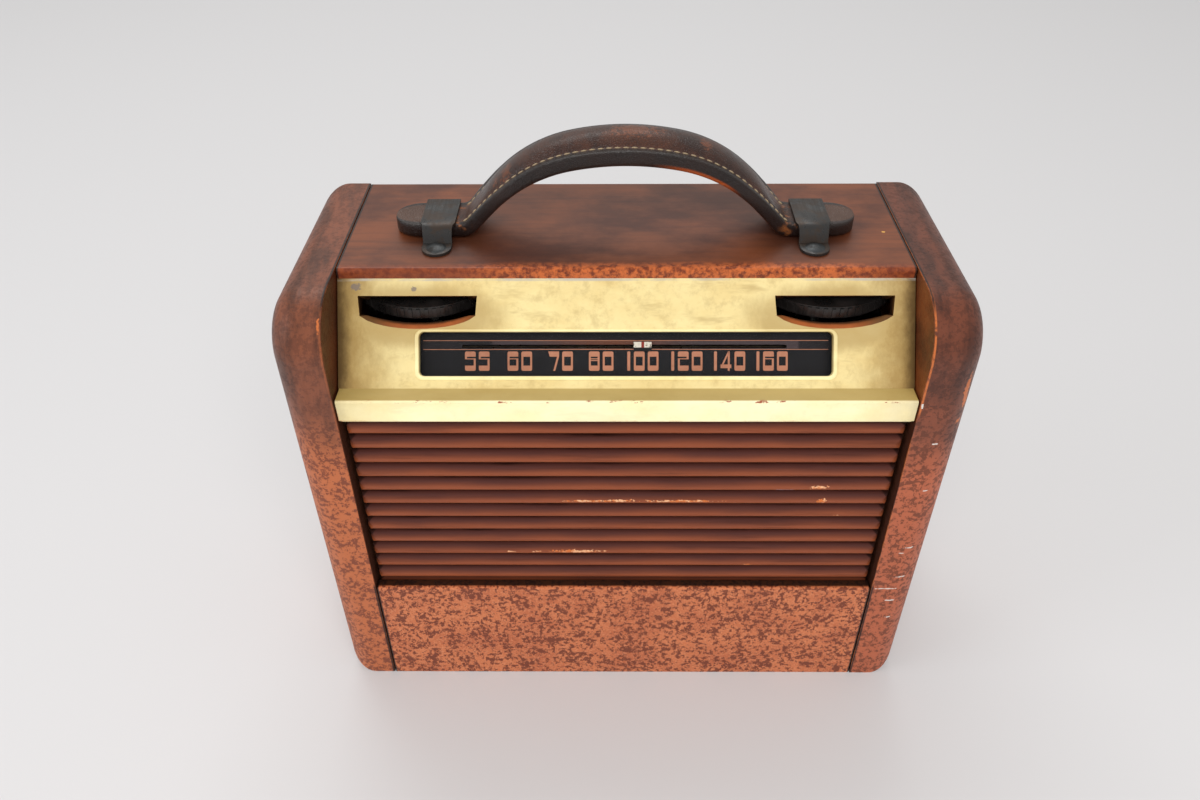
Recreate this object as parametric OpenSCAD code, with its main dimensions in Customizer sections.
// Portable tube radio with a reeded wooden grille, a slanted dial and a leather handle.
// Millimetres. +Z is up, the front faces -Y, and the origin is under the middle of the cabinet.

/* [Cabinet] */
// Width over both end caps
cabinet_w = 260; // [234:1:286]
// Height to the top of the top panel
cabinet_h = 204; // [184:1:224]
// Depth from front to back
cabinet_d = 105; // [95:1:116]
// Thickness of each solid end cap
cap_t = 21; // [18:0.5:24]
// Round-over along the outer edge of an end cap
cap_round = 12; // [6:0.5:14]
// Radius of the front top corner of an end cap, seen from the side
crown_r = 22; // [16:0.5:30]
// Thickness of the top panel
top_t = 4; // [3:0.5:5]
// Thickness of the bottom, front and back boards
board_t = 5; // [4:0.5:6]
// Height of the lower front panel
lower_h = 61.5; // [58:0.5:63]
// Distance from the front to the front edge of the top panel
top_set = 33; // [30:0.5:36]
// Visible joint line between a board and an end cap
joint_gap = 0.4; // [0.2:0.1:0.8]

/* [Front] */
// Height of the slanted dial part, from the ledge to the top panel
dial_rise = 33; // [31:0.5:34]
// Height of the rail
rail_h = 10; // [8:0.5:11]
// Depth of the ledge in front of the dial board
ledge_d = 8; // [6:0.5:10]
// Number of reeds in the grille
reed_count = 12; // [11:1:13]
// Radius of a half-round reed, as a share of the distance from one reed to the next
reed_share = 0.435; // [0.4:0.005:0.46]
// How far the reeds lie behind the front face
reed_set = 3.2; // [2:0.1:4]
// Thickness of the board behind the reeds
grille_t = 3.5; // [3:0.5:5]
// Width of the oval sound opening
sound_w = 122; // [110:1:126]
// Height of the oval sound opening, as a share of the grille's height
sound_share = 0.8; // [0.74:0.01:0.82]

/* [Dial] */
// Thickness of the slanted dial board
dial_t = 6.5; // [6:0.5:8]
// Wood on each side of the dial window
window_side = 31; // [28:0.5:36]
// Height of the dial window, along the slope
window_h = 16.6; // [15:0.2:18]
// Distance up the slope from the ledge to the window
window_s = 4.7; // [4:0.1:5.5]
// Width of a thumb opening
thumb_w = 45; // [40:1:48]
// Wood left between the dial window and a thumb opening
thumb_land = 1.1; // [0.8:0.1:2]
// Height of a thumb opening at its ends
thumb_h = 8; // [7:0.2:9]
// Extra depth of the curved lower edge of a thumb opening
thumb_sag = 3.6; // [3:0.1:4]
// Slope of the scooped lower lip of a thumb opening
thumb_scoop = 40; // [35:1:45]
// Place of the pointer along the scale
pointer_x = 6.5; // [0:0.5:12]
// Travel of the pointer to the left of that place
travel_left = 62; // [55:1:64]
// Travel of the pointer to the right of that place
travel_right = 48; // [42:1:50]

/* [Controls] */
// Radius of a thumbwheel
wheel_r = 29.5; // [28:0.5:30]
// Thickness of a thumbwheel
wheel_t = 4.8; // [4:0.2:5]
// Distance of each wheel's axis from the end cap beside it
wheel_in = 30.5; // [30.2:0.1:33]
// Distance of the wheels' axes from the front
wheel_y = 56; // [55:0.5:58]
// Distance from a wheel's lower face to the underside of the top panel
wheel_drop = 14; // [13:0.5:15]
// Radius of the control shafts
shaft_r = 3; // [2.5:0.1:3.5]
// Running clearance round a shaft or pin
run_fit = 0.05; // [0.03:0.01:0.08]

/* [Tuning drive] */
// Distance from the front to the drum on the tuning capacitor
drum_front = 24; // [23:0.5:27]
// Winding radius of the small pulley on the tuning shaft
drive_r = 9; // [7:0.5:10]
// Winding radius of the guide pulleys
guide_r = 4; // [3.5:0.5:5]
// Diameter of the dial cord
cord_d = 0.8; // [0.6:0.1:1]
// Plates on the rotor of the tuning capacitor
plate_count = 7; // [5:1:7]

/* [Handle] */
// Width of the padded grip
grip_w = 26; // [22:1:28]
// Thickness of the grip at its middle
grip_t = 10; // [8:0.5:12]
// Thickness of the leather strap at its ends
strap_t = 5.6; // [4:0.2:6]
// Width of the flat strap ends
strap_w = 20; // [16:1:22]
// Distance of each bracket from the middle
bracket_x = 73; // [70:1:74]
// Width of a bracket
bracket_w = 14; // [12:0.5:15]
// Thickness of the bracket steel
bracket_t = 1.2; // [0.8:0.1:1.6]
// Diameter of a bracket screw's round head
screw_head_d = 10; // [8:0.5:11]
// Height of the grip's middle above the top panel
handle_rise = 36; // [30:1:44]

/* [Chassis] */
// Distance from the chassis plate's underside to the top panel
chassis_drop = 36.5; // [36:0.5:37]
// Thickness of the chassis steel
chassis_t = 1.2; // [1:0.1:1.6]
// Distance of the tube row from the back door
tube_in = 14; // [13.5:0.1:14.2]
// Diameter of a miniature tube
tube_d = 18; // [16:0.5:19]
// Height of a miniature tube's glass
tube_h = 48; // [40:1:52]
// Width of an intermediate-frequency can
can_w = 20; // [18:1:21]
// Height of an intermediate-frequency can
can_h = 50; // [40:1:56]

/* [Speaker] */
// Width of the oval speaker frame
speaker_w = 150; // [146:1:156]
// Height of the oval speaker frame, as a share of the grille's height
speaker_share = 0.92; // [0.88:0.01:0.93]
// Depth of the speaker basket
basket_d = 28; // [24:1:29]
// Diameter of the magnet, as a share of the speaker frame's height
magnet_share = 0.34; // [0.3:0.01:0.35]
// Depth of the magnet
magnet_t = 15; // [12:1:16]

/* [Power] */
// Room between each end cap and the battery pack
battery_side = 14; // [11:1:24]
// Height of the battery pack
battery_h = 46; // [40:1:48]

/* [Back] */
// Radius of the pins that the back door turns on
pin_r = 1; // [0.8:0.1:1.2]
// Length of a door pin inside the end cap
pin_depth = 8; // [6:0.5:10]
// Number of ventilation slots in one row of the back door
vent_count = 9; // [5:1:11]
// Width of the loop antenna's winding
loop_w = 9; // [6:0.5:12]

/* [Hidden] */
$fn = 64;

tiny = 0.01;                                  // overrun of a cut past a face
seat = 0.3;                                   // gap of a loose or soft piece from its seat
inner = cabinet_w / 2 - cap_t;                // inner face of an end cap
window_w = 2 * (inner - window_side);
wheel_x = inner - wheel_in;
thumb_top = window_s + window_h + thumb_land + thumb_sag + thumb_h;
board_x = inner - joint_gap;                  // end of a board between the caps
top_z = cabinet_h - top_t;                    // underside of the top panel
rail_z = top_z - dial_rise;                   // ledge on top of the rail
wheel_z = top_z - wheel_drop;                 // lower face of a wheel
chassis_z = top_z - chassis_drop;             // underside of the chassis plate
door_y = cabinet_d - board_t;                 // inner face of the back door
handle_y = (top_set + cabinet_d) / 2;
slope_y = top_set - ledge_d;
slope_z = top_z - rail_z;
tilt = atan(slope_y / slope_z);               // dial board's lean from the vertical
dial_y = dial_t / cos(tilt);                  // dial board's thickness, front to back
grille_h = rail_z - rail_h - lower_h;
foot_gap = 1.6;                               // dark gap under the lowest reed
reed_pitch = (grille_h - foot_gap - 2.8) / reed_count;
reed_r = reed_pitch * reed_share;
grille_back = reed_set + reed_r + grille_t;
reed_z0 = lower_h + foot_gap + reed_pitch / 2; // axis of the lowest reed
sound_h = grille_h * sound_share;
sound_z = lower_h + grille_h / 2 + 1.7;       // middle of the sound opening
speaker_h = grille_h * speaker_share;
magnet_d = speaker_h * magnet_share;
cloth_t = 0.5;
gasket_t = 0.5;                               // rim of the cone, between cloth and frame
flange_y = grille_back + cloth_t + gasket_t;  // front of the speaker's flange
flange_t = 1.5;
basket_y = flange_y + basket_d;
deck_z = chassis_z + chassis_t;               // top of the chassis plate
lip = 2.5;                                    // wood left in front of the dial window
glass_t = 0.8;
plate_t = 0.8;
plate_n = -dial_t + 0.3;                      // back of the dial plate, behind the board's face
slot_s = window_s + 11.3;                     // pointer slot, up the slope
carriage_n = -dial_t - 2.5;                   // cord line behind the board's face
cord_y = ledge_d + slot_s * sin(tilt) - carriage_n * cos(tilt);
cord_z = rail_z + slot_s * cos(tilt) + carriage_n * sin(tilt);
drum_z = deck_z + 3.3;                        // middle of the drum and the drive pulley
drum_back = door_y - 4;
drum_lip = 1;
drum_r = (drum_back - drum_front) / 2 - drum_lip; // radius at which the cord winds
gang_y = (drum_back + drum_front) / 2;
tube_y = door_y - tube_in;
plate_r = tube_y - can_w / 2 - 1.5 - gang_y - 2; // rotor plates, clear of the cans behind
drum_x = 4;
guide_left = pointer_x - travel_left - 12;    // axes of the guide pulleys
guide_right = pointer_x + travel_right + 16;
guide_y = cord_y + guide_r;
hinge_y = cabinet_d - board_t / 2;
hinge_z = board_t / 2 + 0.5;
door_top = top_z - 0.6;
tube_pitch = (2 * inner - 10) / 8;
tube_x = function(i) (i - 3.5) * tube_pitch;
socket_t = 3;
latch_z = top_z - 16;

// Moves what is measured from the front face to the middle of the cabinet
module from_front() translate([0, -cabinet_d / 2, 0]) children();

// Turns an outline drawn as depth and height into a board along X
module along_x(length) {
    translate([-length / 2, 0, 0]) rotate([90, 0, 90]) linear_extrude(length) children();
}

// Turns an outline drawn as width and height into a sheet that starts at depth y
module along_y(y, depth) {
    translate([0, y + depth, 0]) rotate([90, 0, 0]) linear_extrude(depth) children();
}

// Lays children on the dial board: x across, y up the slope, z out of its face
module on_slope() {
    translate([0, ledge_d, rail_z]) rotate([90 - tilt, 0, 0]) children();
}

module both_sides() {
    children();
    mirror([1, 0, 0]) children();
}

// Rectangle with round corners, centred
module round_rect(w, h, r) {
    union() {
        square([w - 2 * r, h], center = true);
        square([w, h - 2 * r], center = true);
        for (x = [-1, 1], y = [-1, 1])
            translate([x * (w / 2 - r), y * (h / 2 - r)]) circle(r);
    }
}

// Slot with round ends, centred and upright
module slot(w, h) {
    union() {
        square([w, h - w], center = true);
        for (y = [-1, 1]) translate([0, y * (h - w) / 2]) circle(d = w, $fn = 24);
    }
}

// Oval drawn with four arcs
function oval_side_r(w, h) = let (end_r = h * 0.3, end_x = w / 2 - end_r)
    (end_x * end_x + h * h / 4 - end_r * end_r) / (h - 2 * end_r);
module oval(w, h) {
    end_r = h * 0.3;
    end_x = w / 2 - end_r;
    side_r = oval_side_r(w, h);
    lean = atan(end_x / (side_r - h / 2));
    reach = end_x + end_r * sin(lean);
    overlap = 0.05;
    union() {
        intersection() {
            translate([0, h / 2 - side_r]) circle(side_r, $fn = 128);
            translate([0, side_r - h / 2]) circle(side_r, $fn = 128);
            square([2 * reach, h + 1], center = true);
        }
        for (x = [-1, 1]) translate([x * end_x, 0]) circle(end_r + overlap);
    }
}

// Side outline of an end cap
module cap_outline() {
    union() {
        square([cabinet_d, cabinet_h - crown_r]);
        translate([crown_r, 0]) square([cabinet_d - crown_r, cabinet_h]);
        translate([crown_r, cabinet_h - crown_r]) circle(crown_r, $fn = 96);
    }
}

// What a round-over takes off a square edge whose corner is at the origin
module edge_waste() {
    difference() {
        translate([-cap_round, -cap_round]) square(cap_round + 1);
        translate([-cap_round, -cap_round]) circle(cap_round);
    }
}

// Right end cap, solid wood with its outer edge rounded all the way round
module end_cap() {
    outer = cabinet_w / 2;
    difference() {
        translate([inner, 0, 0]) rotate([90, 0, 90]) linear_extrude(cap_t) cap_outline();
        // front edge, up to the crown
        translate([outer, 0, -1]) mirror([0, 1, 0])
            linear_extrude(cabinet_h - crown_r + 1) edge_waste();
        // back edge
        translate([outer, cabinet_d, -1]) linear_extrude(cabinet_h + 2) edge_waste();
        // bottom edge
        translate([outer, cabinet_d + 1, 0]) rotate([90, 0, 0]) mirror([0, 1, 0])
            linear_extrude(cabinet_d + 2) edge_waste();
        // top edge, back from the crown
        translate([outer, cabinet_d + 1, cabinet_h]) rotate([90, 0, 0])
            linear_extrude(cabinet_d + 1 - crown_r) edge_waste();
        // crown
        translate([0, crown_r, cabinet_h - crown_r]) rotate([180, -90, 0])
            rotate_extrude(angle = 90, $fn = 96)
                translate([crown_r, outer]) edge_waste();
        // socket for the door pin
        translate([inner - 1, hinge_y, hinge_z]) rotate([0, 90, 0])
            cylinder(r = pin_r + run_fit, h = pin_depth + 1 + seat, $fn = 32);
    }
}

module left_end_cap() { color("#7a3d24") from_front() mirror([1, 0, 0]) end_cap(); }
module right_end_cap() { color("#7a3d24") from_front() end_cap(); }

module top_panel() {
    nose = top_t * 0.45;
    color("#74422f") from_front() difference() {
        along_x(2 * board_x) union() {
            translate([top_set + nose, top_z]) square([cabinet_d - top_set - 2 * nose, top_t]);
            translate([top_set, top_z]) square([cabinet_d - top_set, top_t - nose]);
            for (y = [top_set + nose, cabinet_d - nose])
                translate([y, cabinet_h - nose]) circle(nose, $fn = 32);
        }
        bracket_screw_places() translate([0, 0, -top_t - 1])
            cylinder(r = screw_r + run_fit, h = top_t + 2, $fn = 32);
    }
}

module bottom_panel() {
    front_y = board_t + joint_gap;
    rear_y = hinge_y - board_t / 2 - 0.5;
    color("#8a6b4a") from_front() difference() {
        translate([-board_x, front_y, 0]) cube([2 * board_x, rear_y - front_y, board_t]);
        strap_screw_places() translate([0, 0, board_t - strap_screw_l])
            cylinder(r = strap_screw_r + run_fit, h = strap_screw_l + 1, $fn = 24);
    }
}

module lower_front_panel() {
    ease = 1;
    color("#b8663f") from_front() along_x(2 * board_x) union() {
        square([board_t, lower_h - ease]);
        translate([ease, 0]) square([board_t - ease, lower_h]);
        translate([ease, lower_h - ease]) circle(ease, $fn = 24);
    }
}

grille_foot = 14;                             // how far the board runs down behind the lower panel
// Reeded board: half-round reeds on a backing, open between the reeds inside the oval
module grille_panel() {
    reed_y = reed_set + reed_r;
    reed_end = inner - 1.1;
    top = rail_z - rail_h - joint_gap;
    foot = lower_h - grille_foot;
    color("#5f2f22") from_front() difference() {
        intersection() {
            along_x(2 * inner) union() {
                for (i = [0 : reed_count - 1])
                    translate([reed_y, reed_z0 + i * reed_pitch]) circle(reed_r, $fn = 48);
                translate([reed_y, foot]) square([grille_t, top - foot]);
            }
            translate([0, 0, foot]) linear_extrude(top - foot) union() {
                translate([-reed_end + reed_r, reed_set])
                    square([2 * (reed_end - reed_r), grille_back - reed_set]);
                translate([-reed_end, reed_y]) square([2 * reed_end, grille_t]);
                for (x = [-1, 1]) translate([x * (reed_end - reed_r), reed_y]) circle(reed_r);
            }
        }
        translate([0, 0, sound_z]) along_y(reed_y, grille_t + 1) oval(sound_w, sound_h);
        speaker_bolt_places() translate([0, grille_back - bolt_depth, 0]) rotate([-90, 0, 0])
            cylinder(r = bolt_r + run_fit, h = bolt_depth + 1, $fn = 24);
    }
}

module grille_cloth() {
    color("#3a2a20") from_front() difference() {
        translate([0, 0, sound_z]) along_y(grille_back, cloth_t)
            oval(speaker_w - 4, speaker_h - 4);
        speaker_bolt_places() translate([0, grille_back - 1, 0]) rotate([-90, 0, 0])
            cylinder(r = bolt_r + run_fit, h = cloth_t + 2, $fn = 24);
    }
}

// Rail under the dial, with the ledge that the dial board stands on
module dial_rail() {
    corner = 2.5;
    end_x = inner - 0.8;
    depth = ledge_d + 6;
    color("#f0e2a0") from_front() translate([0, 0, rail_z - rail_h]) intersection() {
        along_y(0, depth) union() {
            translate([-end_x, corner]) square([2 * end_x, rail_h - corner]);
            translate([-end_x + corner, 0]) square([2 * (end_x - corner), rail_h]);
            for (x = [-1, 1]) translate([x * (end_x - corner), corner]) circle(corner);
        }
        along_x(2 * inner) union() {
            translate([0, 0.8]) square([depth, rail_h - 1.6]);
            translate([0.8, 0]) square([depth - 0.8, rail_h]);
            for (z = [0.8, rail_h - 0.8]) translate([0.8, z]) circle(0.8, $fn = 24);
        }
    }
}

// Thumb opening: straight top and ends, and a lower edge that sags in one arc
module thumb_outline(h, sag) {
    arc_r = (thumb_w * thumb_w / 4 + sag * sag) / (2 * sag);
    intersection() {
        translate([0, arc_r - h - sag]) circle(arc_r, $fn = 128);
        translate([-thumb_w / 2, -h - sag - 1]) square([thumb_w, h + sag + 1]);
    }
}

// Thumb opening through the board, and the scoop that slopes in from its lower lip
module thumb_opening() {
    inner_sag = 1;
    scoop_h = 4;
    scoop_depth = 4.6;
    scoop_sag = thumb_sag * cos(thumb_scoop);
    translate([0, thumb_top, -dial_t - 8])
        linear_extrude(dial_t + 9) thumb_outline(thumb_h, inner_sag);
    translate([0, thumb_top - thumb_h - thumb_sag, 0]) rotate([thumb_scoop, 0, 0])
        translate([0, scoop_h + scoop_sag, -scoop_depth])
            linear_extrude(scoop_depth + 4) thumb_outline(scoop_h, scoop_sag);
}

// Rebate behind the window, which holds the glass and the scale plate
module rebate_outline(gap) {
    up = thumb_land - 0.2;
    round_rect(window_w + 7 - 2 * gap, window_h + 2 * up - 2 * gap, 1.5);
}

module dial_board() {
    color("#e5cf8f") from_front() difference() {
        along_x(2 * board_x) polygon([[ledge_d, rail_z], [top_set, top_z],
            [top_set + dial_y, top_z], [ledge_d + dial_y, rail_z]]);
        on_slope() translate([0, window_s + window_h / 2, -lip - tiny])
            linear_extrude(lip + 1) round_rect(window_w, window_h, 2);
        on_slope() translate([0, window_s + window_h / 2, -dial_t - 1])
            linear_extrude(dial_t - lip + 1) rebate_outline(0);
        on_slope() both_sides() translate([wheel_x, 0, 0]) thumb_opening();
        shaft_places() translate([0, 0, wheel_z - 1]) cylinder(r = wheel_r + 1, h = wheel_t + 2);
    }
}

module dial_window() {
    color("#e8f0f0", 0.35) from_front() on_slope()
        translate([0, window_s + window_h / 2, -lip - glass_t])
            linear_extrude(glass_t) rebate_outline(0.2);
}

// Scale plate, slotted for the pointer
module dial_plate() {
    slot_l = travel_left + travel_right + 14;
    slot_x = pointer_x + (travel_right - travel_left) / 2;
    color("#1a1718") from_front() on_slope() difference() {
        translate([0, window_s + window_h / 2, plate_n])
            linear_extrude(plate_t) rebate_outline(0.2);
        translate([slot_x, slot_s, plate_n - 1])
            linear_extrude(plate_t + 2) round_rect(slot_l, 1.4, 0.6);
    }
}

block_s = 7;                                  // section of the corner blocks and the cleats
// Square strips glued into the corners of the cabinet
module corner_blocks() {
    s = block_s;
    rear = door_y - 4;
    color("#b08a5a") from_front() union() {
        both_sides() translate([inner - s, board_t + joint_gap, board_t])
            cube([s, rear - board_t, s]);
        both_sides() translate([inner - s, top_set + dial_y + 2, top_z - s])
            cube([s, rear - top_set - dial_y - 2, s]);
        both_sides() translate([inner - s, grille_back, board_t + s + 2])
            cube([s, s, chassis_z - board_t - 2 * s - 6]);
        translate([-board_x + s + 2, board_t, board_t]) cube([2 * (board_x - s - 2), s, s]);
    }
}

// Strips on the end caps that carry the chassis plate
module chassis_cleats() {
    s = block_s;
    color("#b08a5a") from_front() difference() {
        both_sides() translate([inner - s, grille_back + s + 2, chassis_z - s])
            cube([s, door_y - 8 - grille_back - s, s]);
        chassis_screw_places() translate([0, 0, chassis_z - s + 1])
            cylinder(r = chassis_screw_r + run_fit, h = s, $fn = 24);
    }
}

// Strip under the top panel that stops the back door and takes its latch
module keeper_batten() {
    color("#b08a5a") from_front()
        translate([-inner + 9, door_y - 3.3, top_z - 9]) cube([2 * (inner - 9), 3, 9]);
}

screw_r = 1.6;
foot_front = handle_y - 23;
foot_back = handle_y + 23;
module bracket_screw_places() {
    both_sides() for (y = [foot_front, foot_back])
        translate([bracket_x, y, cabinet_h]) children();
}

// Steel saddle over one end of the strap, with a round foot in front and behind
module handle_bracket() {
    clear = strap_w / 2 + seat + 0.4;
    rise = strap_t + 2 * seat;
    foot_r = bracket_w / 2;
    difference() {
        intersection() {
            translate([bracket_x - bracket_w / 2, 0, cabinet_h]) rotate([90, 0, 90])
                linear_extrude(bracket_w) difference() {
                    union() {
                        translate([foot_front - foot_r, 0])
                            square([foot_back - foot_front + 2 * foot_r, bracket_t]);
                        translate([handle_y, (rise + bracket_t) / 2])
                            round_rect(2 * (clear + bracket_t), rise + bracket_t, 1.6, $fn = 24);
                        translate([handle_y - clear - bracket_t, 0])
                            square([2 * (clear + bracket_t), 3]);
                    }
                    translate([handle_y - clear, -1]) square([2 * clear, rise]);
                    translate([handle_y - clear + 1, -1]) square([2 * clear - 2, rise + 1]);
                }
            translate([bracket_x, 0, cabinet_h - 1]) linear_extrude(rise + bracket_t + 2) union() {
                for (y = [foot_front, foot_back]) translate([0, y]) circle(foot_r);
                translate([-foot_r, foot_front]) square([2 * foot_r, foot_back - foot_front]);
            }
        }
        for (y = [foot_front, foot_back]) translate([bracket_x, y, cabinet_h - 1])
            cylinder(r = screw_r + run_fit, h = bracket_t + 2, $fn = 32);
        translate([bracket_x, handle_y, cabinet_h + rise + bracket_t + 1.7]) sphere(2.2);
    }
}

module left_handle_bracket() {
    color("#3c3f40") from_front() mirror([1, 0, 0]) handle_bracket();
}
module right_handle_bracket() { color("#3c3f40") from_front() handle_bracket(); }

// Round-head screws through the bracket feet and the top panel, each with its square nut
module bracket_screws() {
    head_h = screw_head_d * 0.3;
    ball_r = (screw_head_d * screw_head_d / 4 + head_h * head_h) / (2 * head_h);
    color("#4a4c4c") from_front() bracket_screw_places() union() {
        translate([0, 0, bracket_t]) intersection() {
            translate([0, 0, head_h - ball_r]) sphere(ball_r);
            cylinder(d = screw_head_d, h = head_h);
        }
        translate([0, 0, -top_t - 2.6])
            cylinder(r = screw_r, h = top_t + 2.7 + bracket_t, $fn = 32);
        translate([0, 0, -top_t - 2]) linear_extrude(2) square(6, center = true);
    }
}

// Handle: half of its line runs down a crown arc, a shoulder arc, a straight flank,
// a bend at the bracket and a flat end
crown_arc = 100;
crown_end = 12;
shoulder_arc = 55;
flank = 50;
bend_arc = 7;
strap_end = 90.5;
rest_z = cabinet_h + seat + strap_t / 2;
peak_z = cabinet_h + handle_rise;
p1 = [crown_arc * sin(crown_end), peak_z - crown_arc * (1 - cos(crown_end))];
p2 = p1 + shoulder_arc * [sin(flank) - sin(crown_end), cos(flank) - cos(crown_end)];
bend_top = rest_z + bend_arc * (1 - cos(flank));
p3 = p2 + (p2[1] - bend_top) * [1 / tan(flank), -1];
p4 = [p3[0] + bend_arc * sin(flank), rest_z];
half_line = concat(
    [for (a = [0 : 4 : crown_end - 1]) [crown_arc * sin(a), peak_z - crown_arc * (1 - cos(a)), a]],
    [for (a = [crown_end : 3.8 : flank + tiny])
        [p1[0] + shoulder_arc * (sin(a) - sin(crown_end)),
         p1[1] + shoulder_arc * (cos(a) - cos(crown_end)), a]],
    [for (a = [flank : -10 : 1])
        [p3[0] + bend_arc * (sin(flank) - sin(a)),
         p3[1] - bend_arc * (cos(a) - cos(flank)), a]],
    [for (u = [0, 0.35, 0.6, 0.8, 0.92, 0.98, 1]) [p4[0] + u * (strap_end - p4[0]), rest_z, 0]]);
half_n = len(half_line);
line = concat(
    [for (i = [half_n - 1 : -1 : 1]) [-half_line[i][0], half_line[i][1], -half_line[i][2]]],
    half_line);
ring_n = 20;

// Share of the padding left at a distance x from the middle
function padding(x) = let (u = min(1, abs(x) / (p3[0] - 4))) 1 - pow(u, 2.4);
function half_w(x) = let (d = max(0, abs(x) - strap_end + strap_w / 2))
    sqrt(max(0.04, strap_w * strap_w / 4 - d * d))
    + (grip_w - strap_w) / 2 * min(1, max(0, (p4[0] - abs(x)) / 18));
// Half thickness above and below the line: the upper side swells with the padding
function upper_t(x) = strap_t / 2 + (grip_t - strap_t) * 0.62 * padding(x);
function lower_t(x) = strap_t / 2 + (grip_t - strap_t) * 0.38 * padding(x);
function ring(p) = [for (k = [0 : ring_n - 1]) let (
        a = 360 * (k + 0.5) / ring_n,
        c = cos(a), s = sin(a),
        e = s > 0 ? 0.75 : 0.45,
        y = half_w(p[0]) * sign(c) * pow(abs(c), 0.45),
        n = (s > 0 ? upper_t(p[0]) : lower_t(p[0])) * sign(s) * pow(abs(s), e))
    [p[0] + n * sin(p[2]), handle_y + y, p[1] + n * cos(p[2])]];

module handle_grip() {
    points = [for (p = line) each ring(p)];
    last = len(line) - 1;
    sides = [for (i = [0 : last - 1], k = [0 : ring_n - 1])
        let (a = i * ring_n + k, b = i * ring_n + (k + 1) % ring_n)
        each [[a, b, b + ring_n], [a, b + ring_n, a + ring_n]]];
    start = [for (k = [ring_n - 1 : -1 : 0]) k];
    finish = [for (k = [0 : ring_n - 1]) last * ring_n + k];
    color("#4a2418") from_front() polyhedron(points, concat(sides, [start, finish]));
}

bolt_r = 1.3;
bolt_depth = 2.4;
bolt_in = 2.4;                                // from a bolt's axis to the rim of the flange
module speaker_bolt_places() {
    side_r = oval_side_r(speaker_w, speaker_h);
    x = speaker_w / 3;
    z = sqrt(pow(side_r - bolt_in, 2) - x * x) - side_r + speaker_h / 2;
    for (sx = [-1, 1], sz = [-1, 1]) translate([sx * x, 0, sound_z + sz * z]) children();
}

// Pressed steel basket: an oval flange, a tapered wall with four windows, and a back plate
module speaker_frame() {
    cut = 2 * flange_t;
    back_d = magnet_d + 14;
    color("#8d8f8c") from_front() difference() {
        union() {
            translate([0, 0, sound_z]) along_y(flange_y, flange_t) oval(speaker_w, speaker_h);
            translate([0, 0, sound_z]) hull() {
                along_y(flange_y + flange_t / 2, 0.5) oval(speaker_w - 10, speaker_h - 10);
                along_y(basket_y - 1.2, 1.2) circle(d = back_d);
            }
        }
        translate([0, 0, sound_z]) hull() {
            along_y(flange_y - cut, cut) oval(speaker_w - 13, speaker_h - 13);
            along_y(basket_y - 2.5, 0.1) circle(d = back_d - 5);
        }
        translate([0, 0, sound_z]) along_y(basket_y - 5, 6) circle(d = 14);
        for (a = [45 : 90 : 315]) translate([0, 0, sound_z]) rotate([0, a, 0])
            translate([13, flange_y + 8, -9]) cube([60, basket_d - 13, 18]);
        speaker_bolt_places() translate([0, flange_y - 1, 0]) rotate([-90, 0, 0])
            cylinder(r = bolt_r + run_fit, h = flange_t + 10, $fn = 24);
    }
}

module speaker_cone() {
    depth = basket_d - 6;
    rim_y = flange_y - gasket_t;
    color("#2b2623") from_front() translate([0, 0, sound_z]) difference() {
        union() {
            along_y(rim_y, gasket_t) oval(speaker_w - 9, speaker_h - 9);
            hull() {
                along_y(rim_y + 0.2, 0.3) oval(speaker_w - 16, speaker_h - 16);
                along_y(flange_y + depth, 0.6) circle(d = 22);
            }
            along_y(flange_y + depth, 5) circle(d = 13);
        }
        hull() {
            along_y(rim_y - 0.5, 0.5) oval(speaker_w - 18, speaker_h - 18);
            along_y(flange_y + depth - 1, 0.6) circle(d = 18);
        }
    }
}

module speaker_magnet() {
    color("#6a6d70") from_front() translate([0, 0, sound_z]) union() {
        along_y(basket_y, 3) circle(d = magnet_d + 8);
        along_y(basket_y + 3, magnet_t - 6) circle(d = magnet_d);
        along_y(basket_y + magnet_t - 3, 3) circle(d = magnet_d + 4);
    }
}

module speaker_bolts() {
    color("#b5b5ae") from_front() speaker_bolt_places() rotate([-90, 0, 0]) union() {
        translate([0, 0, grille_back - bolt_depth + 0.2])
            cylinder(r = bolt_r, h = flange_y + flange_t - grille_back + bolt_depth, $fn = 24);
        translate([0, 0, flange_y + flange_t]) cylinder(d = 4.6, h = 1.8, $fn = 6);
    }
}

core_w = 34;
core_d = 12;
core_h = 25;
core_limb = 6;
coil_d = 20;
// Laminated core with a paper-covered winding through its window
module output_transformer() {
    coil_w = core_w - 2 * core_limb + 1;
    coil_h = core_h - 2 * core_limb;
    color("#55524e") from_front()
        translate([tube_x(5) + 11, tube_y - 26, chassis_z - core_h]) union() {
            difference() {
                translate([-core_w / 2, -core_d / 2, 0]) cube([core_w, core_d, core_h]);
                translate([-coil_w / 2, -core_d, core_limb]) cube([coil_w, 2 * core_d, coil_h]);
            }
            translate([-coil_w / 2, -coil_d / 2, core_limb]) cube([coil_w, coil_d, coil_h]);
        }
}

chassis_screw_r = 1.4;
chassis_screw_front = 30;
chassis_screw_back = 20;
module chassis_screw_places() {
    both_sides() for (y = [chassis_screw_front, door_y - chassis_screw_back])
        translate([inner - block_s / 2, y, 0]) children();
}

module shaft_places() {
    both_sides() translate([wheel_x, wheel_y, 0]) children();
}

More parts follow.
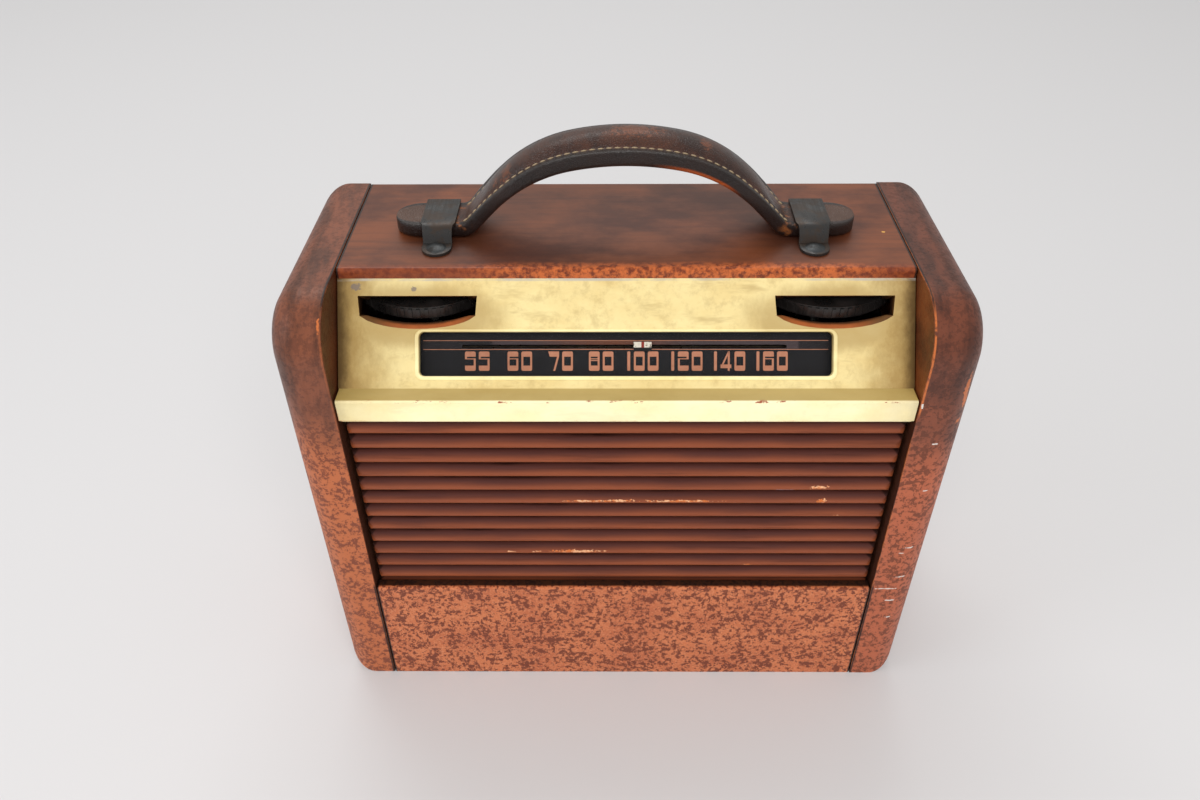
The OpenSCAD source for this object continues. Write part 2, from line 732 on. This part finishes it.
// Steel plate with a stiffening lip turned down at the front
module chassis() {
    y0 = ledge_d + dial_y + 1;
    y1 = door_y - 3;
    edge = inner - 0.3;
    lip_x = inner - 9;
    color("#a9aaa4") from_front() difference() {
        union() {
            translate([-edge, y0, chassis_z]) cube([2 * edge, y1 - y0, chassis_t]);
            translate([-lip_x, y0, chassis_z - 6]) cube([2 * lip_x, chassis_t, 6 + tiny]);
        }
        shaft_places() translate([0, 0, chassis_z - 1])
            cylinder(r = bush_r + run_fit, h = chassis_t + 2);
        translate([drum_x, gang_y, chassis_z - 1])
            cylinder(r = shaft_r + 1, h = chassis_t + 2);
        for (i = socket_row) translate([tube_x(i), tube_y, chassis_z - 1])
            cylinder(d = 12, h = chassis_t + 2);
        chassis_screw_places() translate([0, 0, chassis_z - 1])
            cylinder(r = chassis_screw_r + run_fit, h = chassis_t + 2, $fn = 24);
        for (x = [guide_left, guide_right]) translate([x, guide_y, chassis_z - 1])
            cylinder(r = stud_r + run_fit, h = chassis_t + 2, $fn = 24);
    }
}

module chassis_screws() {
    color("#b5b5ae") from_front() chassis_screw_places() union() {
        translate([0, 0, chassis_z - 5]) cylinder(r = chassis_screw_r, h = 5 + chassis_t, $fn = 24);
        translate([0, 0, deck_z]) cylinder(d = 5.5, h = 1.8, $fn = 6);
    }
}

// Tuning capacitor: plates between two end plates, under the chassis
plate_pitch = 3;
leaf_t = 0.7;
gang_h = plate_count * plate_pitch + 5;
gang_top = chassis_z;
gang_frame_t = 1.5;
module gang_frame() {
    w = 2 * plate_r + 8;
    color("#9aa0a0") from_front() translate([drum_x, gang_y, 0]) difference() {
        union() {
            for (z = [gang_top - gang_frame_t, gang_top - gang_h])
                translate([-w / 2, -plate_r - 2, z]) cube([w, 2 * plate_r + 4, gang_frame_t]);
            for (x = [-w / 2, w / 2 - 3]) translate([x, -plate_r - 2, gang_top - gang_h])
                cube([3, 4, gang_h]);
        }
        translate([0, 0, gang_top - gang_h - 1])
            cylinder(r = shaft_r + run_fit, h = gang_h + 2);
    }
}

// Fixed plates on the front half, with the post that ties them together
module gang_stator() {
    z0 = gang_top - gang_h + gang_frame_t + 0.35;
    color("#c2c6c6") from_front() translate([drum_x, gang_y, 0]) union() {
        for (i = [0 : plate_count]) translate([0, 0, z0 + i * plate_pitch])
            linear_extrude(leaf_t) difference() {
                translate([-plate_r, -plate_r - 1.4]) square([2 * plate_r, plate_r]);
                circle(r = shaft_r + 2);
            }
        for (x = [-plate_r - 0.4, plate_r - 1.6]) translate([x, -plate_r - 1.6, z0])
            cube([2, 0.8, plate_count * plate_pitch + leaf_t]);
    }
}

// Rotor plates are half discs that swing between the fixed plates
module gang_rotor() {
    z0 = gang_top - gang_h + gang_frame_t + 0.35 + plate_pitch / 2;
    half_turn = travel_left / drum_r * 180 / PI;  // fully in mesh at the left end of the scale
    rotor_top = drum_z + 4;
    color("#d0d2d0") from_front() translate([drum_x, gang_y, 0]) union() {
        for (i = [0 : plate_count - 1]) translate([0, 0, z0 + i * plate_pitch])
            rotate([0, 0, half_turn]) linear_extrude(leaf_t) intersection() {
                circle(r = plate_r - 0.6);
                translate([-plate_r, -plate_r]) square([2 * plate_r, plate_r + 2]);
            }
        translate([0, 0, gang_top - gang_h - 1.5])
            cylinder(r = shaft_r, h = rotor_top - gang_top + gang_h + 1.5);
    }
}

// Wheel with a flared cord groove in its rim; r is the radius at which the cord winds
module grooved_rim(r, lip_h, half_h) {
    floor_r = r - cord_d / 2 - 0.3;
    floor_h = cord_d / 2 + 0.1;
    open_h = half_h - 0.4;
    rotate_extrude($fn = 128) difference() {
        translate([0, -half_h]) square([r + lip_h, 2 * half_h]);
        polygon([[floor_r, -floor_h], [r + lip_h, -open_h], [r + lip_h + 1, -open_h],
            [r + lip_h + 1, open_h], [r + lip_h, open_h], [floor_r, floor_h]]);
    }
}

module drive_drum() {
    color("#c9c9c2") from_front() translate([drum_x, gang_y, drum_z]) difference() {
        union() {
            grooved_rim(drum_r, drum_lip, 2);
            cylinder(r = shaft_r + 3, h = 3.5);
        }
        for (a = [0 : 60 : 300]) rotate([0, 0, a]) translate([drum_r * 0.56, 0, -3])
            cylinder(r = drum_r * 0.2, h = 6);
        translate([0, 0, -3]) cylinder(r = shaft_r + 0.02, h = 8);
    }
}

bush_r = shaft_r + 2;
// Threaded bushings with their nuts, which carry the two control shafts in the plate
module shaft_bushings() {
    color("#c0a060") from_front() shaft_places() difference() {
        union() {
            translate([0, 0, chassis_z - 6]) cylinder(r = bush_r, h = 6 + chassis_t);
            translate([0, 0, chassis_z - 2]) cylinder(r = bush_r + 2, h = 2, $fn = 6);
        }
        translate([0, 0, chassis_z - 7]) cylinder(r = shaft_r + run_fit, h = 9 + chassis_t);
    }
}

// Thumbwheel with a ribbed rim and a hub
module thumbwheel() {
    rib_n = 60;
    translate([0, 0, wheel_z]) difference() {
        union() {
            linear_extrude(wheel_t) circle(r = wheel_r - 0.5, $fn = 128);
            translate([0, 0, 0.6]) linear_extrude(wheel_t - 1.2) union() {
                circle(r = wheel_r - 0.4, $fn = 128);
                for (i = [0 : rib_n - 1]) rotate(i * 360 / rib_n)
                    translate([wheel_r - 1, -0.7]) square([1, 1.4]);
            }
            translate([0, 0, -4]) cylinder(r = shaft_r + 4, h = 5);
        }
        translate([0, 0, -5]) cylinder(r = shaft_r + 0.02, h = wheel_t + 4.2);
        for (a = [30 : 60 : 330]) rotate([0, 0, a]) translate([wheel_r * 0.55, 0, 1.4])
            cylinder(r = wheel_r * 0.17, h = wheel_t);
    }
}

module tuning_wheel() {
    color("#1c1b1c") from_front() translate([wheel_x, wheel_y, 0]) thumbwheel();
}
module volume_wheel() {
    color("#1c1b1c") from_front() translate([-wheel_x, wheel_y, 0]) thumbwheel();
}

shaft_top = wheel_z + wheel_t - 1;
module tuning_shaft() {
    color("#b8b8b0") from_front() translate([wheel_x, wheel_y, 0]) union() {
        translate([0, 0, chassis_z - 10])
            cylinder(r = shaft_r, h = shaft_top - chassis_z + 10);
        translate([0, 0, chassis_z - 8]) cylinder(r = shaft_r + 1.5, h = 1.5);
        translate([0, 0, drum_z]) grooved_rim(drive_r, 1, 2.2);
    }
}

// Round can of the volume control and its switch, hung from its bushing
module volume_control() {
    color("#8b8d8a") from_front() translate([-wheel_x, wheel_y, 0]) difference() {
        union() {
            translate([0, 0, chassis_z - 17.5]) cylinder(d = 24, h = 11);
            translate([0, 0, chassis_z - 25.5]) cylinder(d = 20, h = 8);
            for (x = [-7, 0, 7]) translate([x - 1.2, -18, chassis_z - 14]) cube([2.4, 9, 0.8]);
        }
        translate([0, 0, chassis_z - 14]) cylinder(r = shaft_r + run_fit, h = 8);
    }
}
module volume_shaft() {
    color("#b8b8b0") from_front() translate([-wheel_x, wheel_y, chassis_z - 13.5])
        cylinder(r = shaft_r, h = shaft_top - chassis_z + 13.5);
}

// Posts for the guide pulleys, staked into the chassis plate
stud_r = 1.2;
module pulley_studs() {
    head_z = cord_z + 2.2;
    color("#c0a060") from_front() for (x = [guide_left, guide_right])
        translate([x, guide_y, 0]) union() {
            translate([0, 0, chassis_z]) cylinder(r = stud_r, h = head_z - chassis_z, $fn = 32);
            translate([0, 0, deck_z]) cylinder(r = stud_r + 1, h = cord_z - 2 - deck_z, $fn = 32);
            translate([0, 0, head_z - 0.2]) cylinder(r = stud_r + 0.8, h = 0.8, $fn = 32);
        }
}
module guide_pulley(x) {
    translate([x, guide_y, cord_z]) difference() {
        grooved_rim(guide_r, 0.9, 1.7);
        translate([0, 0, -3]) cylinder(r = stud_r + run_fit, h = 6, $fn = 32);
    }
}
module left_guide_pulley() { color("#c0a060") from_front() guide_pulley(guide_left); }
module right_guide_pulley() { color("#c0a060") from_front() guide_pulley(guide_right); }

// Dial cord: one loop round the left guide, the right guide, the drive pulley and the drum.
// Each pulley is [x, y, z, radius], and the loop runs anticlockwise seen from above.
pulleys = [
    [guide_left, guide_y, cord_z, guide_r],
    [guide_right, guide_y, cord_z, guide_r],
    [wheel_x, wheel_y, drum_z, drive_r],
    [drum_x, gang_y, drum_z, drum_r]];
// Direction, from the centre, of the tangent point of the outer belt line from a to b
function belt_angle(a, b) = let (d = [b[0] - a[0], b[1] - a[1]],
    run = atan2(d[1], d[0])) run - acos((a[3] - b[3]) / norm(d));
function arc_steps(r) = r > 20 ? 12 : 7;
function cord_arc(i) = let (
    q = pulleys[i], before = pulleys[(i + 3) % 4], after = pulleys[(i + 1) % 4],
    a0 = belt_angle(before, q), raw = belt_angle(q, after),
    a1 = raw < a0 ? raw + 360 : raw, n = arc_steps(q[3]))
    [for (k = [0 : n]) let (a = a0 + (a1 - a0) * k / n)
        [q[0] + q[3] * cos(a), q[1] + q[3] * sin(a), q[2]]];
cord_path = [for (i = [0 : 3]) each cord_arc(i)];
cord_sides = 8;
module dial_cord() {
    n = len(cord_path);
    points = [for (i = [0 : n - 1]) let (
        d = cord_path[(i + 1) % n] - cord_path[(i + n - 1) % n],
        side = [d[1], -d[0], 0] / norm([d[0], d[1]]))
        for (k = [0 : cord_sides - 1]) let (a = 360 * (k + 0.5) / cord_sides)
            cord_path[i] + cord_d / 2 * (side * cos(a) + [0, 0, sin(a)])];
    faces = [for (i = [0 : n - 1], k = [0 : cord_sides - 1])
        let (a = i * cord_sides + k, b = i * cord_sides + (k + 1) % cord_sides,
             c = (a + cord_sides) % (n * cord_sides), d = (b + cord_sides) % (n * cord_sides))
        each [[a, c, d], [a, d, b]]];
    color("#d8ceb0") from_front() polyhedron(points, faces);
}

// Pointer flag in front of the plate, its stem through the slot and its clip by the cord
module dial_pointer() {
    flag_n = plate_n + plate_t + 0.35;
    gap = cord_d / 2 + 0.35;
    color("#f0ece0") from_front() on_slope() translate([pointer_x, slot_s, 0]) union() {
        translate([-3.4, -1.7, flag_n]) cube([6.8, 3.4, 0.7]);
        translate([-1.2, -0.45, carriage_n + gap]) cube([2.4, 0.9, flag_n - carriage_n - gap + 0.3]);
        translate([-3, -2.6, carriage_n + gap]) cube([6, 5.2, 0.8]);
    }
}

// Sockets stand in slots 0, 1, 3, 6 and 7 of the row; cans and the coil take the others
socket_row = [0, 1, 3, 6, 7];
module tube_sockets() {
    color("#3b2b20") from_front() for (i = socket_row)
        translate([tube_x(i), tube_y, chassis_z - socket_t]) difference() {
            union() {
                cylinder(d = tube_d, h = socket_t);
                cylinder(d = 11.6, h = socket_t + chassis_t - 0.1);
            }
            translate([0, 0, -1]) cylinder(d = 3, h = socket_t + 2, $fn = 24);
        }
}

// Miniature tube hung base up: glass with a domed end and an exhaust tip, and its pins
module tube(i) {
    r = tube_d / 2;
    bulb_z = chassis_z - socket_t - 0.4;
    from_front() translate([tube_x(i), tube_y, bulb_z]) mirror([0, 0, 1]) union() {
        rotate_extrude() intersection() {
            union() {
                square([r, tube_h - r * 0.8]);
                translate([0, tube_h - r * 0.8]) intersection() {
                    translate([0, -r * 0.45]) circle(r * 1.1);
                    translate([0, -tiny]) square([r, r]);
                }
                translate([0, tube_h - r * 0.4]) circle(1.6, $fn = 32);
            }
            translate([0, 0]) square([r, tube_h + 10]);
        }
        for (k = [0 : 6]) rotate([0, 0, 45 * k]) translate([4.6, 0, -0.2])
            cylinder(d = 1, h = 0.4, $fn = 16);
    }
}
module converter_tube() { color("#9fb0b4") tube(0); }
module if_amplifier_tube() { color("#9fb0b4") tube(1); }
module detector_tube() { color("#9fb0b4") tube(3); }
module output_tube() { color("#9fb0b4") tube(6); }
module rectifier_tube() { color("#9fb0b4") tube(7); }

// Square aluminium can with rounded corners and a top adjuster hole
module if_can(i) {
    from_front() translate([tube_x(i), tube_y, chassis_z - can_h]) difference() {
        linear_extrude(can_h) round_rect(can_w, can_w, 2.5, $fn = 32);
        translate([0, 0, -1]) cylinder(d = 5, h = 4, $fn = 32);
    }
}
module first_if_can() { color("#c4c6c8") if_can(2); }
module second_if_can() { color("#c4c6c8") if_can(4); }

module oscillator_coil() {
    color("#b5702f") from_front() translate([tube_x(5), tube_y, chassis_z - 34]) difference() {
        union() {
            cylinder(d = 9, h = 34);
            translate([0, 0, 9]) cylinder(d = 15, h = 5);
            translate([0, 0, 18]) cylinder(d = 12, h = 9);
        }
        translate([0, 0, -1]) cylinder(d = 6, h = 10, $fn = 32);
    }
}

// Paper-cased filter capacitor lying on the chassis plate
module filter_capacitor() {
    r = 8;
    end_in = 1.5;
    color("#c9a86a") from_front() translate([-inner + 15, tube_y + 1, deck_z + r])
        rotate([0, 90, 0]) union() {
            cylinder(r = r, h = 42);
            translate([0, 0, -end_in]) cylinder(r = r - end_in, h = 42 + 2 * end_in);
        }
}

battery_y = board_t + 16;
battery_d = door_y - battery_y - 13;
battery_w = 2 * (inner - battery_side);
// Cardboard battery pack with a four-hole socket on its top
module battery_pack() {
    color("#c8b68a") from_front() translate([0, battery_y + battery_d / 2, board_t]) difference() {
        union() {
            linear_extrude(battery_h) round_rect(battery_w, battery_d, 2);
            translate([battery_w * 0.3, 0, battery_h]) cylinder(d = 22, h = 2);
        }
        for (a = [0 : 90 : 270]) translate([battery_w * 0.3, 0, battery_h - 4]) rotate([0, 0, a])
            translate([5.5, 0, 0]) cylinder(d = 3, h = 8, $fn = 24);
    }
}

strap_x = -30;
strap_screw_r = 1.5;
strap_screw_l = 4;
strap_steel = 1;
module strap_screw_places() {
    for (y = [battery_y - 4.8, battery_y + battery_d + 4.8])
        translate([strap_x, y, 0]) children();
}
// Steel strap over the battery pack, screwed down in front and behind
module battery_strap() {
    w = 14;
    y0 = battery_y - seat;
    y1 = battery_y + battery_d + seat;
    z1 = board_t + battery_h + seat;
    color("#8f918d") from_front() difference() {
        translate([strap_x - w / 2, 0, 0]) rotate([90, 0, 90]) linear_extrude(w) union() {
            translate([y0 - strap_steel, z1]) square([y1 - y0 + 2 * strap_steel, strap_steel]);
            for (y = [y0 - strap_steel, y1]) translate([y, board_t])
                square([strap_steel, z1 - board_t + tiny]);
            translate([y0 - 8.3, board_t]) square([8.3, strap_steel]);
            translate([y1, board_t]) square([8.3, strap_steel]);
        }
        strap_screw_places() translate([0, 0, board_t - 1])
            cylinder(r = strap_screw_r + run_fit, h = 4, $fn = 24);
    }
}
module strap_screws() {
    color("#b5b5ae") from_front() strap_screw_places() union() {
        translate([0, 0, board_t - strap_screw_l + 0.2])
            cylinder(r = strap_screw_r, h = strap_screw_l + strap_steel, $fn = 24);
        translate([0, 0, board_t + strap_steel]) cylinder(d = 5.6, h = 1.6, $fn = 32);
    }
}

// Pins fixed in the end caps; the lower corners of the door turn on them
door_bore = 9;
module door_pins() {
    color("#9a9c98") from_front() both_sides()
        translate([inner - door_bore + 0.5, hinge_y, hinge_z]) rotate([0, 90, 0])
            cylinder(r = pin_r, h = pin_depth + door_bore - 0.5, $fn = 32);
}

// Back door with a round lower edge on the pins, slots, a cord hole and a latch seat
module back_door() {
    door_x = inner - 0.5;
    color("#6b3f2a") from_front() difference() {
        along_x(2 * door_x) union() {
            translate([door_y, hinge_z]) square([board_t, door_top - hinge_z]);
            translate([hinge_y, hinge_z]) circle(board_t / 2);
        }
        both_sides() translate([door_x - door_bore, hinge_y, hinge_z]) rotate([0, 90, 0])
            cylinder(r = pin_r + run_fit, h = door_bore + 1, $fn = 32);
        for (row = [-1, 1], i = [0 : vent_count - 1])
            translate([(i - (vent_count - 1) / 2) * 17, 0, vent_z + row * 13])
                along_y(door_y - 1, board_t + 2) slot(3, 18);
        translate([door_x - 4.8, 0, hinge_z + 24]) along_y(door_y - 1, board_t + 2)
            circle(d = 7);
        translate([0, cabinet_d - latch_head_t, latch_z]) rotate([-90, 0, 0])
            cylinder(r = latch_r + seat, h = latch_head_t + 1);
        translate([0, door_y - 1, latch_z]) rotate([-90, 0, 0])
            cylinder(r = latch_pin_r + run_fit, h = board_t + 2, $fn = 32);
    }
}
vent_z = chassis_z - 30;
latch_r = 6;
latch_pin_r = 2;
latch_head_t = 1.6;

// Coin-slot latch: a round head in the door and a tongue inside it
module door_latch() {
    tongue_y = door_y - 3.3 - 0.4 - 1.5;
    color("#a0a29c") from_front() translate([0, 0, latch_z]) union() {
        difference() {
            translate([0, cabinet_d - latch_head_t + 0.1, 0]) rotate([-90, 0, 0])
                cylinder(r = latch_r, h = latch_head_t - 0.1);
            translate([-latch_r - 1, cabinet_d - 0.8, -0.7]) cube([2 * latch_r + 2, 2, 1.4]);
        }
        translate([0, tongue_y, 0]) rotate([-90, 0, 0])
            cylinder(r = latch_pin_r, h = cabinet_d - latch_head_t + 0.2 - tongue_y, $fn = 32);
        translate([-4, tongue_y, -4]) cube([17, 1.5, 8]);
    }
}

// Loop antenna on the inside of the door: a card form and its flat winding
loop_mid_w = 2 * inner - 28;
loop_z0 = hinge_z + 17;
loop_z1 = latch_z - 9;
module antenna_form() {
    card = 1;
    color("#8c6a42") from_front() difference() {
        translate([0, 0, (loop_z0 + loop_z1) / 2]) along_y(door_y - card, card) difference() {
            round_rect(loop_mid_w + 8, loop_z1 - loop_z0 + 8, 9);
            round_rect(loop_mid_w - 2 * loop_w - 8, loop_z1 - loop_z0 - 2 * loop_w - 8, 4);
        }
    }
}
module antenna_loop() {
    color("#7a5a30") from_front() translate([0, 0, (loop_z0 + loop_z1) / 2])
        along_y(door_y - 2.6, 1.6) difference() {
            round_rect(loop_mid_w, loop_z1 - loop_z0, 8);
            round_rect(loop_mid_w - 2 * loop_w, loop_z1 - loop_z0 - 2 * loop_w, 3);
        }
}

left_end_cap();
right_end_cap();
top_panel();
bottom_panel();
lower_front_panel();
grille_panel();
grille_cloth();
dial_rail();
dial_board();
dial_window();
dial_plate();
corner_blocks();
chassis_cleats();
keeper_batten();
handle_grip();
left_handle_bracket();
right_handle_bracket();
bracket_screws();
speaker_frame();
speaker_cone();
speaker_magnet();
speaker_bolts();
output_transformer();
chassis();
chassis_screws();
gang_frame();
gang_stator();
volume_control();
shaft_bushings();
pulley_studs();
dial_cord();
tube_sockets();
converter_tube();
if_amplifier_tube();
detector_tube();
output_tube();
rectifier_tube();
first_if_can();
second_if_can();
oscillator_coil();
filter_capacitor();
battery_pack();
battery_strap();
strap_screws();
door_pins();
tuning_wheel();
tuning_shaft();
gang_rotor();
drive_drum();
dial_pointer();
left_guide_pulley();
right_guide_pulley();
volume_wheel();
volume_shaft();
back_door();
antenna_form();
antenna_loop();
door_latch();
